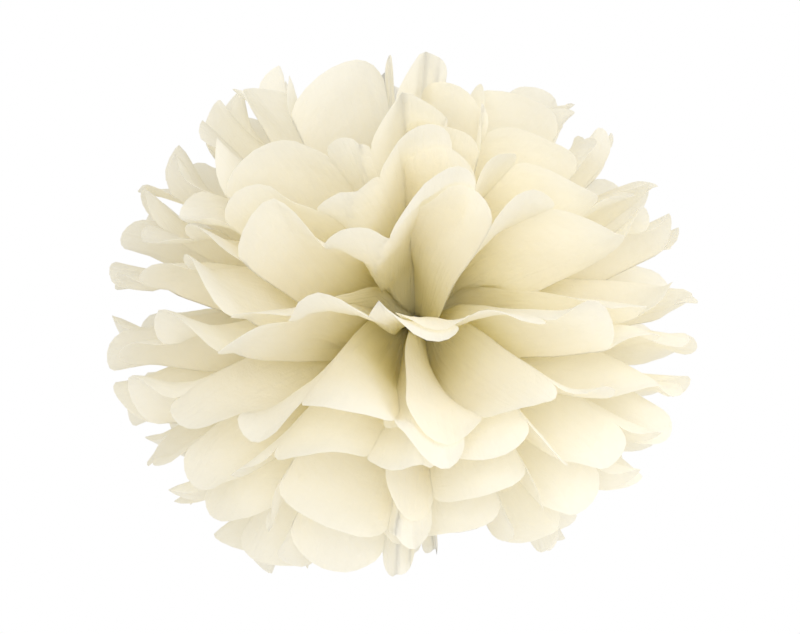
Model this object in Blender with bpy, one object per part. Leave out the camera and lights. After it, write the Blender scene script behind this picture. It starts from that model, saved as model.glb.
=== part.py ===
"""A tissue paper pom pom: ten tissue sheets pleated together, tied at the waist, fanned and pulled apart.

Metres, +Z up. The origin is the centre of the wire tie. Both fans open round Z, and the free edges
of each sheet, where its two fans meet, face -Y and +Y. A place on a sheet is its fan, how far it
lies across that fan in panels (0 to PANELS), and its distance from the waist.
"""

import math
import random

import bmesh
import bpy

# The cut and pleated paper.
SHEETS = 10  # in the stack, half pulled up and half pulled down
FLAT_WIDTH = 0.500  # of each sheet, across its pleats
FLAT_LENGTH = 0.350  # of each sheet, along its pleats
PANELS = 12  # pleat panels across the width
PLEAT = FLAT_WIDTH / PANELS
REACH = FLAT_LENGTH / 2  # from the tie to a petal's tip
SCALLOP = 0.020  # how far the round cut drops at a crease

# The gathered waist.
HUB_RADIUS = 0.006
HUB_PITCH = 0.0010  # from sheet to sheet through the waist
WALL = 0.00030  # paper wall of the solids, measured across the latitude
SPACE = 0.0040  # least space between neighbouring sheets away from the waist
WAIST_PLEAT = 0.15  # half height of the pleats at the waist, as radians of latitude
STEEPEST_PLEAT = 0.38  # the same, where the sheets have left the waist

# How the sheets are pulled apart.
FANS = 2  # the right one and the left one
TOP_LATITUDE = math.radians(58)
SQUASH = 0.89  # the ball is a little lower than it is wide
TIE_OFFSET = 0.008  # of the tie from the paper's middle, which makes the left petals longer
SEAM_HALF_GAP = 0.0035  # from the middle of the seam to a fan's free edge
TURNS = (-6, -1.5, -1, 4, 2, 2, 7, 3, 3, 9)  # degrees that each sheet is turned about Z, lowest first
CREASE_SHIFT = math.radians(1.6)
CREASE_LIFT = math.radians(3.0)
PETAL_CUP = math.radians(1.6)
KNIFE = 0.42  # how far the wide petals spread over the narrow ones on the top and bottom sheets
OPEN_TIPS = 0.18  # how far the pleats have relaxed at the tips

# Degrees that the creases next to the front seam are pulled up, from the seam outward, for each fan of a sheet.
FRONT_LIFTS = {
    (0, 0): (11, 9, 7, 6, 4),
    (0, 1): (11, 8, 5, 3, 2),
    (1, 0): (2, 3, 3, 2, 0),
    (1, 1): (-1, -1, 4, 4, 0),
    (2, 0): (3, 2, 2, 0, 0),
    (2, 1): (4, 4, 0, -2, -1),
    (3, 0): (-3, -1, 0, 2, 2),
    (3, 1): (-3, -1, 0, 0, 0),
    (4, 0): (0, 2, 3, 1, 0),
    (4, 1): (3, 4, 2, 0, 0),
    (5, 0): (-3, -2, 2, 0, 0),
    (5, 1): (-4, -3, 5, 3, 0),
    (6, 0): (8, 10, 8, 4, 2),
    (6, 1): (6, 1, -2, -2, 0),
    (7, 0): (7, 9, 7, 3, 0),
    (7, 1): (2, -3, -7, -5, -2),
    (8, 0): (4, 5, 3, 0, 0),
    (8, 1): (1, -3, -9, -11, -7),
    (9, 0): (2, 2, 1, -2, -6),
    (9, 1): (2, 0, -2, -5, -8),
}

# Rows of points from the waist outward: share of the reach, and spans across one panel.
ROWS = ((0.0, 1), (0.12, 2), (0.45, 2), (0.78, 2), (1.0, 4))

# The wire tie.
WIRE_RADIUS = 0.00035
TIE_HALF_WIDTH = 0.0100
TIE_HALF_HEIGHT = 0.0095
TIE_CORNER = 0.003
CORNER_SPANS = 4

PAPER_COLOUR = (0.855, 0.805, 0.665)
WIRE_COLOUR = (0.62, 0.60, 0.55)


def ease(x):
    """0 below 0, 1 above 1 and smooth between."""
    x = min(max(x, 0.0), 1.0)
    return x * x * (3 - 2 * x)


def seeded(seed, count, low, high):
    """One value for each panel or crease of each fan, as values[sheet][fan][i]."""
    rng = random.Random(seed)
    return [[[rng.uniform(low, high) for _ in range(count)] for _ in range(FANS)] for _ in range(SHEETS)]


LIFTS = seeded(11, PANELS + 1, -CREASE_LIFT, CREASE_LIFT)
CUPS = seeded(12, PANELS, -0.4 * PETAL_CUP, PETAL_CUP)
SHIFTS = seeded(13, PANELS + 1, -CREASE_SHIFT, CREASE_SHIFT)


def level(n):
    """-1 for the lowest sheet to 1 for the highest."""
    return 2 * n / (SHEETS - 1) - 1


def rest_latitude(n):
    """Equal steps of sine give every sheet the same share of the ball."""
    return math.asin(level(n) * math.sin(TOP_LATITUDE))


def waist_height(n):
    return level(n) * (SHEETS - 1) / 2 * HUB_PITCH


def turn(n, rho):
    """How far sheet n is turned about Z at this distance from the waist."""
    return math.radians(TURNS[n]) * ease((rho - 0.03) / 0.11)


def knife(n, crease, regular):
    """Shift of a crease that widens the petals facing out and tucks the ones between them."""
    crowded = 1 - math.cos(rest_latitude(n))
    outward = -math.sin(regular) * (1 if level(n) > 0 else -1)
    return -((-1) ** crease) * outward * KNIFE * min(crowded / 0.35, 1.0) * math.pi / PANELS


def crease_angle(n, fan, crease, rho):
    """Angle of a crease from its fan's middle, before the sheet is turned."""
    half = math.pi / 2 - ease((rho - HUB_RADIUS) / 0.012) * math.asin(min(SEAM_HALF_GAP / rho, 1.0))
    regular = -half + crease / PANELS * 2 * half
    if crease in (0, PANELS):
        return regular
    return regular + (SHIFTS[n][fan][crease] + knife(n, crease, regular)) * ease((rho - 0.05) / 0.08)


def angle_of(n, fan, across, rho):
    """Direction about Z of a place on sheet n."""
    crease = min(int(across), PANELS - 1)
    a = crease_angle(n, fan, crease, rho)
    b = crease_angle(n, fan, crease + 1, rho)
    local = a + (b - a) * (across - crease)
    return (local if fan == 0 else math.pi - local) + turn(n, rho)


def across_of(n, angle, rho):
    """The fan of sheet n that lies in this direction, and how far across it."""
    angle -= turn(n, rho)
    fan = 0 if math.cos(angle) >= 0 else 1
    local = math.asin(math.sin(angle))
    for crease in range(PANELS):
        b = crease_angle(n, fan, crease + 1, rho)
        if local <= b:
            a = crease_angle(n, fan, crease, rho)
            return fan, crease + min(max((local - a) / (b - a), 0.0), 1.0)
    return fan, float(PANELS)


def pleat_height(rho, lat):
    """Half height of the pleats as radians of latitude, from the panel's unchanging width."""
    chord = rho * math.cos(lat) * math.pi / PANELS
    half = 0.5 * math.sqrt(max(PLEAT**2 - chord**2, (0.16 * PLEAT) ** 2))
    room = 0.8 * (math.pi / 2 - abs(lat))
    near_waist = WAIST_PLEAT + (STEEPEST_PLEAT - WAIST_PLEAT) * ease((rho - HUB_RADIUS) / 0.03)
    return min(half / rho, near_waist, room) * (1 - OPEN_TIPS * ease((rho - 0.06) / 0.10))


def crease_lift(n, fan, crease):
    front = FRONT_LIFTS[n, fan]
    if crease < len(front):
        return math.radians(front[crease])
    return LIFTS[n][fan][crease]


def free_latitude(n, fan, across, rho):
    """Latitude of sheet n at a place, before its neighbours push it."""
    panel = min(int(across), PANELS - 1)
    share = across - panel
    start, end = crease_lift(n, fan, panel), crease_lift(n, fan, panel + 1)
    base = rest_latitude(n) * ease((rho - HUB_RADIUS) / 0.045)
    fold = (2 * share - 1) * (1 if panel % 2 else -1)
    lift = (start + ease(share) * (end - start)) * ease((rho - 0.01) / 0.09)
    cup = CUPS[n][fan][panel] * 4 * share * (1 - share) * ease((rho - 0.05) / 0.10)
    return base + pleat_height(rho, base) * fold + lift + cup


def latitude(n, fan, across, rho):
    """Latitude of sheet n where it lies on its neighbours instead of passing through them."""
    angle = angle_of(n, fan, across, rho)
    space = SPACE * ease((rho - HUB_RADIUS) / 0.05) / rho
    up = n >= SHEETS // 2
    sign = 1 if up else -1
    inner = range(SHEETS // 2, n) if up else range(SHEETS // 2 - 1, n, -1)
    found = -math.inf
    for k in inner:
        found = max(sign * free_latitude(k, *across_of(k, angle, rho), rho), found) + space
    return sign * max(sign * free_latitude(n, fan, across, rho), found)


def place(n, fan, across, rho, side):
    """The point of sheet n there. side is -1 or 1 for its two faces."""
    angle = angle_of(n, fan, across, rho)
    lat = latitude(n, fan, across, rho) + side * WALL / 2 / rho
    flat = rho * math.cos(lat)
    return (flat * math.cos(angle), flat * math.sin(angle), SQUASH * rho * math.sin(lat) + waist_height(n))


def tip(fan, across):
    """Length of the paper from the waist along a line of a panel, which ends in a round scallop."""
    u = 2 * (across % 1.0) - 1
    longest = REACH + (TIE_OFFSET if fan else -TIE_OFFSET)
    return longest - SCALLOP * (1 - math.sqrt(max(1 - abs(u) ** 2.1, 0.0)))


def face(bm, verts, up):
    bm.faces.new(verts if up else verts[::-1])


def zip_rows(bm, inner, outer, up):
    """Triangles between two rows that may have different numbers of spans."""
    ins, outs = len(inner) - 1, len(outer) - 1
    a = b = 0
    while a < ins or b < outs:
        if a * outs >= b * ins and b < outs:
            face(bm, (inner[a], outer[b], outer[b + 1]), up)
            b += 1
        else:
            face(bm, (inner[a], outer[b], inner[a + 1]), up)
            a += 1


def side_rows(bm, n, fan, side):
    """The rows of points of one face of one fan, from the waist outward."""
    rows = []
    for share, spans in ROWS:
        row = []
        for i in range(PANELS * spans + 1):
            across = i / spans
            rho = HUB_RADIUS + share * (tip(fan, across) - HUB_RADIUS)
            row.append(bm.verts.new(place(n, fan, across, rho, side)))
        rows.append(row)
    return rows


def close_edges(bm, low, high, right):
    """Joins the two faces of a fan along its scalloped end and its two free edges."""
    zip_rows(bm, low[-1], high[-1], right)
    for end in (0, -1):
        zip_rows(bm, [row[end] for row in low], [row[end] for row in high], right == (end == 0))


def sheet_mesh(n):
    """Sheet n as one closed thin solid: its two faces, joined along every free edge."""
    bm = bmesh.new()
    middle = {side: bm.verts.new((0, 0, waist_height(n) + side * WALL / 2)) for side in (-1, 1)}
    for fan in range(FANS):
        rows = {side: side_rows(bm, n, fan, side) for side in (-1, 1)}
        for side in (-1, 1):
            up = (side == 1) == (fan == 0)
            for a, b in zip(rows[side][0], rows[side][0][1:]):
                face(bm, (middle[side], a, b), up)
            for inner, outer in zip(rows[side], rows[side][1:]):
                zip_rows(bm, inner, outer, up)
        close_edges(bm, rows[-1], rows[1], fan == 0)
    bmesh.ops.remove_doubles(bm, verts=bm.verts, dist=1e-6)
    bmesh.ops.recalc_face_normals(bm, faces=bm.faces)
    return bm


def material(name, colour, roughness, metallic):
    made = bpy.data.materials.new(name)
    made.use_nodes = True
    shader = made.node_tree.nodes["Principled BSDF"]
    shader.inputs["Base Color"].default_value = (*colour, 1)
    shader.inputs["Roughness"].default_value = roughness
    shader.inputs["Metallic"].default_value = metallic
    return made


def add_object(name, data, finish):
    data.materials.append(finish)
    made = bpy.data.objects.new(name, data)
    bpy.context.scene.collection.objects.link(made)
    return made


def add_sheet(n, paper):
    mesh = bpy.data.meshes.new(f"tissue_sheet_{n + 1:02d}")
    bm = sheet_mesh(n)
    bm.to_mesh(mesh)
    bm.free()
    return add_object(mesh.name, mesh, paper)


def tie_points():
    """The wire's loop round the waist in the YZ plane, with round corners."""
    points = []
    for quarter, (sy, sz) in enumerate(((1, 1), (-1, 1), (-1, -1), (1, -1))):
        cy = sy * (TIE_HALF_WIDTH - TIE_CORNER)
        cz = sz * (TIE_HALF_HEIGHT - TIE_CORNER)
        for k in range(CORNER_SPANS + 1):
            angle = math.pi / 2 * (quarter + k / CORNER_SPANS)
            points.append((0, cy + TIE_CORNER * math.cos(angle), cz + TIE_CORNER * math.sin(angle)))
    return points


def add_tie(metal):
    curve = bpy.data.curves.new("tie_wire", "CURVE")
    curve.dimensions = "3D"
    curve.bevel_depth = WIRE_RADIUS
    curve.bevel_resolution = 1
    points = tie_points()
    loop = curve.splines.new("POLY")
    loop.points.add(len(points) - 1)
    for point, at in zip(loop.points, points):
        point.co = (*at, 1)
    loop.use_cyclic_u = True
    return add_object("tie_wire", curve, metal)


def main():
    for old in list(bpy.data.objects):
        bpy.data.objects.remove(old)
    paper = material("tissue_paper", PAPER_COLOUR, 0.9, 0.0)
    for n in range(SHEETS):
        add_sheet(n, paper)
    add_tie(material("tie_wire", WIRE_COLOUR, 0.35, 1.0))


main()
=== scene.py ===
"""A tissue paper pom pom: ten cream tissue sheets pleated, tied with wire, fanned out and pulled apart."""

import math
import random

import bmesh
import bpy
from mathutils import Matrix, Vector, noise


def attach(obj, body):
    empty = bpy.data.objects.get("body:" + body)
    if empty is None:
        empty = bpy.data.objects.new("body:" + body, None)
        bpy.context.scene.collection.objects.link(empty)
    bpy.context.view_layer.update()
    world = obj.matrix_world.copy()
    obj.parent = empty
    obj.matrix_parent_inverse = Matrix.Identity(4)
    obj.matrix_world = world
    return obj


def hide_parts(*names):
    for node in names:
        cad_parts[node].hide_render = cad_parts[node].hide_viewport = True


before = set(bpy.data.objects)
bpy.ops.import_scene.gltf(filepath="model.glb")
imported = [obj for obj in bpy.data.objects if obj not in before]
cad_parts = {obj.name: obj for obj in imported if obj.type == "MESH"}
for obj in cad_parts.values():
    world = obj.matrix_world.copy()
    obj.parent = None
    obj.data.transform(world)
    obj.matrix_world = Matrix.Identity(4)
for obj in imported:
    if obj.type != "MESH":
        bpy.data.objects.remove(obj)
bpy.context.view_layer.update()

# The cut and pleated paper, in metres.
SHEETS = 10
FLAT_WIDTH = 0.500
FLAT_LENGTH = 0.350
PANELS = 12
PLEAT = FLAT_WIDTH / PANELS
REACH = FLAT_LENGTH / 2
SCALLOP = 0.020
PAPER = 0.00012

# The gathered waist.
HUB_RADIUS = 0.006
HUB_PITCH = 0.0010
SPACE = 0.0026
WAIST_PLEAT = 0.15
STEEPEST_PLEAT = 0.38

# How the sheets are pulled apart.
FANS = 2
TOP_LATITUDE = math.radians(58)
SQUASH = 0.89
TIE_OFFSET = 0.008  # of the tie from the paper's middle, which makes the left petals longer
FAN_OVERLAP = math.radians(6)  # of one fan's free edge past the seam
EDGE_REACH = 0.35  # radians past a free edge where a sheet that lay on it still slopes down
EDGE_FALL = 1.5  # that slope, in latitude for each radian round Z
FRONT_GAPS = {5: (40, 24)}  # degrees from the seam to a sheet's free edges, where they are pulled apart
RELAXED = {4: 3.0}  # pleats next to the seam that have opened out flat, for each sheet where some have
TURNS = (-6, -1.5, -1, 4, 2, 2, 7, 3, 3, 9)  # degrees that each sheet is turned about Z, lowest first
CREASE_SHIFT = math.radians(1.6)
CREASE_LIFT = math.radians(6.5)
PETAL_CUP = math.radians(4.5)
LIP_CURL = math.radians(6.0)
KNIFE = 0.42  # how far the wide petals spread over the narrow ones on the top and bottom sheets
OPEN_TIPS = 0.12  # how far the pleats have relaxed at the tips

# Degrees that the creases next to the front seam are pulled up, from the seam outward, for each fan of a sheet.
FRONT_LIFTS = {
    (0, 0): (11, 9, 7, 6, 4),
    (0, 1): (11, 8, 5, 3, 2),
    (1, 0): (2, 3, 3, 2, 0),
    (1, 1): (-1, -1, 4, 4, 0),
    (2, 0): (3, 2, 2, 0, 0),
    (2, 1): (4, 4, 0, -2, -1),
    (3, 0): (-3, -1, 0, 2, 2),
    (3, 1): (-3, -1, 0, 0, 0),
    (4, 0): (9, 9, 5, 2, 0),
    (4, 1): (8, 8, 6, 1, 0),
    (5, 0): (-3, -2, 2, 0, 0),
    (5, 1): (-4, -3, 5, 3, 0),
    (6, 0): (8, 10, 8, 4, 2),
    (6, 1): (6, 1, -2, -2, 0),
    (7, 0): (7, 9, 7, 3, 0),
    (7, 1): (2, -3, -7, -5, -2),
    (8, 0): (4, 5, 3, 0, 0),
    (8, 1): (1, -3, -9, -11, -7),
    (9, 0): (2, 2, 1, -2, -6),
    (9, 1): (2, 0, -2, -5, -8),
}

STUDIO_FILL = 0.70  # light from the white studio all round, where the backdrop itself shows as 1

# The grid of points on a sheet.
ACROSS_SPANS = 12
ALONG_SPANS = 30


def ease(x):
    """0 below 0, 1 above 1 and smooth between."""
    x = min(max(x, 0.0), 1.0)
    return x * x * (3 - 2 * x)


def seeded(seed, count, low, high):
    """One value for each panel or crease of each fan, as values[sheet][fan][i]."""
    rng = random.Random(seed)
    return [[[rng.uniform(low, high) for _ in range(count)] for _ in range(FANS)] for _ in range(SHEETS)]


LIFTS = seeded(11, PANELS + 1, -CREASE_LIFT, CREASE_LIFT)
CUPS = seeded(12, PANELS, -0.4 * PETAL_CUP, PETAL_CUP)
SHIFTS = seeded(13, PANELS + 1, -CREASE_SHIFT, CREASE_SHIFT)
LIPS = seeded(14, PANELS, -LIP_CURL, LIP_CURL)


def level(n):
    """-1 for the lowest sheet to 1 for the highest."""
    return 2 * n / (SHEETS - 1) - 1


def rest_latitude(n):
    """Equal steps of sine give every sheet the same share of the ball."""
    return math.asin(level(n) * math.sin(TOP_LATITUDE))


def waist_height(n):
    return level(n) * (SHEETS - 1) / 2 * HUB_PITCH


def turn(n, rho):
    """How far sheet n is turned about Z at this distance from the waist."""
    return math.radians(TURNS[n]) * ease((rho - 0.03) / 0.11)


def knife(n, crease, regular):
    """Shift of a crease that widens the petals facing out and tucks the ones between them."""
    crowded = 1 - math.cos(rest_latitude(n))
    outward = -math.sin(regular) * (1 if level(n) > 0 else -1)
    return -((-1) ** crease) * outward * KNIFE * min(crowded / 0.35, 1.0) * math.pi / PANELS


def crease_angle(n, fan, crease, rho):
    """Angle of a crease from its fan's middle, before the sheet is turned."""
    overlap = FAN_OVERLAP * ease((rho - 0.02) / 0.08)
    start, end = -math.pi / 2 - overlap, math.pi / 2 + overlap
    if n in FRONT_GAPS:
        start += (math.radians(FRONT_GAPS[n][fan]) + overlap) * ease((rho - HUB_RADIUS) / 0.03)
    regular = start + crease / PANELS * (end - start)
    if crease in (0, PANELS):
        return regular
    return regular + (SHIFTS[n][fan][crease] + knife(n, crease, regular)) * ease((rho - 0.05) / 0.08)


def angle_of(n, fan, across, rho):
    """Direction about Z of a place on sheet n."""
    crease = min(int(across), PANELS - 1)
    a = crease_angle(n, fan, crease, rho)
    b = crease_angle(n, fan, crease + 1, rho)
    local = a + (b - a) * (across - crease)
    return (local if fan == 0 else math.pi - local) + turn(n, rho)


def nearest(n, fan, angle, rho):
    """How far across a fan it comes nearest to this direction, and how far past its free edge that is."""
    local = angle - turn(n, rho)
    local = math.remainder(math.pi - local if fan else local, 2 * math.pi)
    start, end = crease_angle(n, fan, 0, rho), crease_angle(n, fan, PANELS, rho)
    beyond = max(start - local, local - end, 0.0)
    a = start
    for crease in range(PANELS):
        b = crease_angle(n, fan, crease + 1, rho)
        if local <= b:
            return crease + min(max((local - a) / (b - a), 0.0), 1.0), beyond
        a = b
    return float(PANELS), beyond


def pleat_height(rho, lat):
    """Half height of the pleats as radians of latitude, from the panel's unchanging width."""
    chord = rho * math.cos(lat) * math.pi / PANELS
    half = 0.5 * math.sqrt(max(PLEAT**2 - chord**2, (0.16 * PLEAT) ** 2))
    room = 0.8 * (math.pi / 2 - abs(lat))
    near_waist = WAIST_PLEAT + (STEEPEST_PLEAT - WAIST_PLEAT) * ease((rho - HUB_RADIUS) / 0.03)
    return min(half / rho, near_waist, room) * (1 - OPEN_TIPS * ease((rho - 0.06) / 0.10))


def relaxed(n, across):
    """Share of their height that the pleats next to the front seam have kept."""
    return ease(across / RELAXED[n]) if n in RELAXED else 1.0


def crease_lift(n, fan, crease):
    front = FRONT_LIFTS[n, fan]
    if crease < len(front):
        return math.radians(front[crease])
    return LIFTS[n][fan][crease]


def free_latitude(n, fan, across, rho):
    """Latitude of sheet n at a place, before its neighbours push it."""
    panel = min(int(across), PANELS - 1)
    share = across - panel
    lift = crease_lift(n, fan, panel) + ease(share) * (crease_lift(n, fan, panel + 1) - crease_lift(n, fan, panel))
    base = rest_latitude(n) * ease((rho - HUB_RADIUS) / 0.045)
    fold = (2 * share - 1) * (1 if panel % 2 else -1)
    bulge = math.sin(math.pi * share) ** 2
    tilt = lift * ease((rho - 0.01) / 0.09)
    cup = CUPS[n][fan][panel] * 4 * share * (1 - share) * ease((rho - 0.05) / 0.10)
    lip = LIPS[n][fan][panel] * math.sqrt(bulge) * ease((rho - 0.125) / 0.06) ** 2
    return base + pleat_height(rho, base) * fold * relaxed(n, across) + tilt + cup + lip


def inside(n, fan):
    """The fans that this one lies on, from the middle of the ball outward."""
    middle = SHEETS // 2
    sheets = range(middle - 1, n) if n > middle else range(middle, n, -1)
    return [(k, side) for k in sheets for side in range(FANS)] + [(n, side) for side in range(fan)]


def latitude(n, fan, across, rho):
    """Latitude of sheet n where it lies on the paper inside it instead of passing through."""
    angle = angle_of(n, fan, across, rho)
    space = SPACE * ease((rho - HUB_RADIUS) / 0.05) / rho
    sign = 1 if n >= SHEETS // 2 else -1
    found = -math.inf
    for k, side in inside(n, fan):
        there, beyond = nearest(k, side, angle, rho)
        if beyond < EDGE_REACH:
            top = max(sign * free_latitude(k, side, there, rho), found) + space - EDGE_FALL * beyond
            found = max(found, top)
    return sign * max(sign * free_latitude(n, fan, across, rho), found)


def wrinkle(n, fan, across, rho):
    """Soft wrinkles in metres, longer along the petal than across it. Neighbouring sheets share the wide ones."""
    angle = angle_of(n, fan, across, rho)
    around = Vector((8.4 * math.cos(angle), 8.4 * math.sin(angle), rho * 22 + 0.4 * n))
    fine = Vector((across * 6.5, rho * 40, 3.0 * n + 17 * fan))
    return (0.0026 * noise.noise(around) + 0.0008 * noise.noise(fine)) * ease((rho - 0.02) / 0.08)


def tip(fan, across):
    """Length of the paper from the waist along a line of a panel, which ends in a round scallop."""
    u = 2 * (across % 1.0) - 1
    return REACH + (TIE_OFFSET if fan else -TIE_OFFSET) - SCALLOP * (1 - math.sqrt(max(1 - abs(u) ** 2.1, 0.0)))


def folded(n, along, across):
    """Where a point of the flat sheet n lies. along is -1 to 1 from left tip to right tip."""
    fan = 0 if along >= 0 else 1
    share = abs(along)
    start = 1.0 / ALONG_SPANS
    hub_y = -HUB_RADIUS * math.cos(math.pi * across / PANELS)
    if share < start / 2:
        return (0.0, 0.85 * hub_y, waist_height(n))
    rho = HUB_RADIUS + max(share - start, 0.0) / (1 - start) * (tip(fan, across) - HUB_RADIUS)
    angle = angle_of(n, fan, across, rho)
    lat = latitude(n, fan, across, rho) + wrinkle(n, fan, across, rho) / rho
    flat = rho * math.cos(lat)
    return (flat * math.cos(angle), flat * math.sin(angle), SQUASH * rho * math.sin(lat) + waist_height(n))


def link(name, bm, finish):
    mesh = bpy.data.meshes.new(name)
    bm.to_mesh(mesh)
    bm.free()
    mesh.materials.append(finish)
    made = bpy.data.objects.new(name, mesh)
    bpy.context.scene.collection.objects.link(made)
    return made


def spread(column):
    """Place across the sheet of a column of points. Columns crowd towards the creases, where the cut is steep."""
    panel, i = divmod(column, ACROSS_SPANS)
    return panel + (1 - math.cos(math.pi * i / ACROSS_SPANS)) / 2


def give_wall(bm):
    """Gives the sheet its thickness and keeps the cut edge crisp."""
    outer = set(bm.verts)
    bmesh.ops.solidify(bm, geom=bm.faces[:], thickness=PAPER)
    for f in bm.faces:
        if 0 < sum(v in outer for v in f.verts) < len(f.verts):
            f.smooth = False
            for edge in f.edges:
                edge.smooth = False


def add_sheet(n, finish):
    """Sheet n: a flat grid whose points are moved to their folded places."""
    bm = bmesh.new()
    flat = bm.loops.layers.uv.new("flat")
    spans = PANELS * ACROSS_SPANS
    bmesh.ops.create_grid(bm, x_segments=2 * ALONG_SPANS, y_segments=spans, size=1.0)
    for f in bm.faces:
        f.smooth = True
        for loop in f.loops:
            at = loop.vert.co
            loop[flat].uv = (at.x * FLAT_LENGTH / 2, spread(round((at.y + 1) / 2 * spans)) * PLEAT)
    for v in bm.verts:
        v.co = folded(n, round(v.co.x * ALONG_SPANS) / ALONG_SPANS, spread(round((v.co.y + 1) / 2 * spans)))
    give_wall(bm)
    return link(f"paper_{n + 1:02d}", bm, finish)


def linear(hexa):
    """An sRGB hex colour as linear RGBA."""
    parts = [int(hexa[i : i + 2], 16) / 255 for i in (1, 3, 5)]
    return (*[c / 12.92 if c <= 0.04045 else ((c + 0.055) / 1.055) ** 2.4 for c in parts], 1.0)


def node(tree, kind, settings=None, **inputs):
    """Adds a node with its settings, and values or links for its inputs."""
    made = tree.nodes.new(kind)
    for name, value in (settings or {}).items():
        setattr(made, name, value)
    for name, value in inputs.items():
        numbered = name[0] == "i" and name[1:].isdigit()
        socket = made.inputs[int(name[1:]) if numbered else name.replace("_", " ")]
        if isinstance(value, bpy.types.NodeSocket):
            tree.links.new(value, socket)
        else:
            socket.default_value = value
    return made


def tissue():
    """Cream tissue paper: matte, with light from behind glowing through each sheet in a warmer cream, and painted
    shade in a deeper gold towards the waist.
    """
    made = bpy.data.materials.new("cream_tissue")
    made.use_nodes = True
    tree = made.node_tree
    tree.nodes.clear()
    flat = node(tree, "ShaderNodeUVMap", {"uv_map": "flat"}).outputs[0]

    # Fibres lie in soft clouds 4 mm across, which show against the light.
    clouds = node(tree, "ShaderNodeTexNoise", i0=flat, Scale=1 / 0.004, Detail=4.0, Roughness=0.65)
    thin = node(tree, "ShaderNodeMixRGB", i0=clouds.outputs[0], i1=linear("#FFFCEC"), i2=linear("#FFFDF4"))
    surface = node(tree, "ShaderNodeMixRGB", i0=clouds.outputs[0], i1=linear("#FEFCF9"), i2=linear("#FFFEFC"))

    # Painted shade: the colour turns a deeper gold towards the waist, standing in for the light that reaches the
    # gathered hub only after passing through many layers of paper.
    along = node(tree, "ShaderNodeSeparateXYZ", i0=flat).outputs[0]
    distance = node(tree, "ShaderNodeMath", {"operation": "ABSOLUTE"}, i0=along)
    smooth = {"interpolation_type": "SMOOTHSTEP"}
    painted_hub_shade = node(tree, "ShaderNodeMapRange", smooth, i0=distance.outputs[0], i1=0.0, i2=0.13, i3=1.0, i4=0.0)
    # Both the through colour and the surface colour take the painted gold of the hub's shade near the waist.
    painted_shade_through = node(tree, "ShaderNodeMixRGB", i0=painted_hub_shade.outputs[0], i1=thin.outputs[0], i2=linear("#FFFBD8"))
    painted_shade_surface = node(tree, "ShaderNodeMixRGB", i0=painted_hub_shade.outputs[0], i1=surface.outputs[0], i2=linear("#FFFBDC"))

    # Gathering at the waist leaves fine creases that run towards the tips, 2.5 mm apart.
    run = node(tree, "ShaderNodeMapping", Vector=flat, Scale=(9.0, 1 / 0.0025, 1.0))
    creases = node(tree, "ShaderNodeTexNoise", Vector=run.outputs[0], Scale=1.0, Detail=2.0, Roughness=0.5)
    gather = node(tree, "ShaderNodeMapRange", i0=distance.outputs[0], i2=0.12, i3=3.2, i4=0.9)
    pinched = node(tree, "ShaderNodeMath", {"operation": "MULTIPLY"}, i0=creases.outputs[0], i1=gather.outputs[0])
    crinkle = node(tree, "ShaderNodeTexNoise", Vector=flat, Scale=1 / 0.014, Detail=5.0, Roughness=0.62)
    both = {"operation": "MULTIPLY_ADD"}
    relief = node(tree, "ShaderNodeMath", both, i0=crinkle.outputs[0], i1=2.0, i2=pinched.outputs[0])
    bump = node(tree, "ShaderNodeBump", Strength=0.55, Distance=0.0010, Height=relief.outputs[0])

    front = node(
        tree,
        "ShaderNodeBsdfPrincipled",
        Base_Color=painted_shade_surface.outputs[0],
        Roughness=0.9,
        Specular_IOR_Level=0.2,
        Normal=bump.outputs[0],
    )
    back = node(tree, "ShaderNodeBsdfTranslucent", Color=painted_shade_through.outputs[0], Normal=bump.outputs[0])
    mix = node(tree, "ShaderNodeMixShader", i0=0.55, i1=front.outputs[0], i2=back.outputs[0])
    node(tree, "ShaderNodeOutputMaterial", Surface=mix.outputs[0])
    return made


def wire():
    """Drawn steel wire: a soft metal shine, with dull streaks from the die."""
    made = bpy.data.materials.new("drawn_steel_wire")
    made.use_nodes = True
    tree = made.node_tree
    tree.nodes.clear()
    place = node(tree, "ShaderNodeTexCoord").outputs["Object"]
    streaks = node(tree, "ShaderNodeTexNoise", Vector=place, Scale=1 / 0.0015, Detail=3.0)
    tint = node(tree, "ShaderNodeMixRGB", Fac=streaks.outputs[0], Color1=linear("#B9B6AF"), Color2=linear("#D6D3CC"))
    dull = node(tree, "ShaderNodeMapRange", Value=streaks.outputs[0], To_Min=0.28, To_Max=0.5)
    shader = node(
        tree,
        "ShaderNodeBsdfPrincipled",
        Base_Color=tint.outputs[0],
        Roughness=dull.outputs[0],
        Metallic=1.0,
    )
    node(tree, "ShaderNodeOutputMaterial", Surface=shader.outputs[0])
    return made


def plain(name, hexa):
    made = bpy.data.materials.new(name)
    made.use_nodes = True
    shader = made.node_tree.nodes["Principled BSDF"]
    shader.inputs["Base Color"].default_value = linear(hexa)
    shader.inputs["Roughness"].default_value = 1.0
    return made


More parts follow.
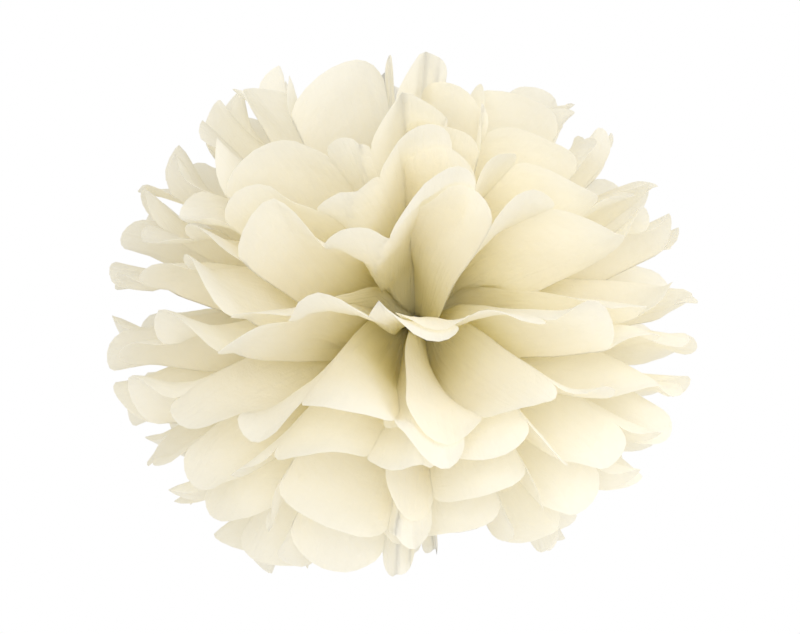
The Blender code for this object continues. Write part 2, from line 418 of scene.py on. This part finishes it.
def add_stage():
    bm = bmesh.new()
    bmesh.ops.create_grid(bm, x_segments=1, y_segments=1, size=6.0)
    bmesh.ops.translate(bm, vec=(0, 0, -1.25), verts=bm.verts)
    floor = link("floor", bm, plain("pale_floor", "#FFFFFF"))


def add_light(name, energy, place, size):
    """A soft box that faces the ball."""
    light = bpy.data.lights.new(name, "AREA")
    light.energy = energy
    light.size = size
    made = bpy.data.objects.new(name, light)
    made.location = place
    made.rotation_euler = (-Vector(place)).to_track_quat("-Z", "Y").to_euler()
    bpy.context.scene.collection.objects.link(made)


def add_camera():
    camera = bpy.data.cameras.new("camera")
    camera.lens = 100
    camera.sensor_width = 36
    distance = 0.4746 * 100 / 36
    made = bpy.data.objects.new("camera", camera)
    place, aim = Vector((0.0, -distance, 0.03)), Vector((-0.0089, 0, 0.002))
    made.location = place
    made.rotation_euler = (aim - place).to_track_quat("-Z", "Y").to_euler()
    bpy.context.scene.collection.objects.link(made)
    bpy.context.scene.camera = made


def add_world():
    world = bpy.data.worlds.new("studio")
    bpy.context.scene.world = world
    world.use_nodes = True
    tree = world.node_tree
    back = tree.nodes["Background"]
    back.inputs["Color"].default_value = (1, 1, 1, 1)
    ray = node(tree, "ShaderNodeLightPath")
    fill = node(tree, "ShaderNodeMath", {"operation": "MULTIPLY"}, i0=ray.outputs["Is Camera Ray"], i1=1 - STUDIO_FILL)
    shown = node(tree, "ShaderNodeMath", {"operation": "ADD"}, i0=fill.outputs[0], i1=STUDIO_FILL)
    tree.links.new(shown.outputs[0], back.inputs["Strength"])


add_camera()
add_stage()
add_world()
add_light("front", 12, (0.0, -1.9, 0.2), 1.2)
add_light("key", 14, (1.7, -0.5, 0.9), 1.2)
bpy.context.scene.view_settings.view_transform = "Standard"
bpy.context.scene.view_settings.gamma = 1.15
bpy.context.scene.cycles.diffuse_bounces = 26
bpy.context.scene.cycles.max_bounces = 26
bpy.context.scene.cycles.transmission_bounces = 26

paper = tissue()
for n in range(SHEETS):
    made = add_sheet(n, paper)
    cad = f"tissue_sheet_{n + 1:02d}"
    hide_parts(cad)
    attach(made, "root")
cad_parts["tie_wire"].material_slots[0].material = wire()
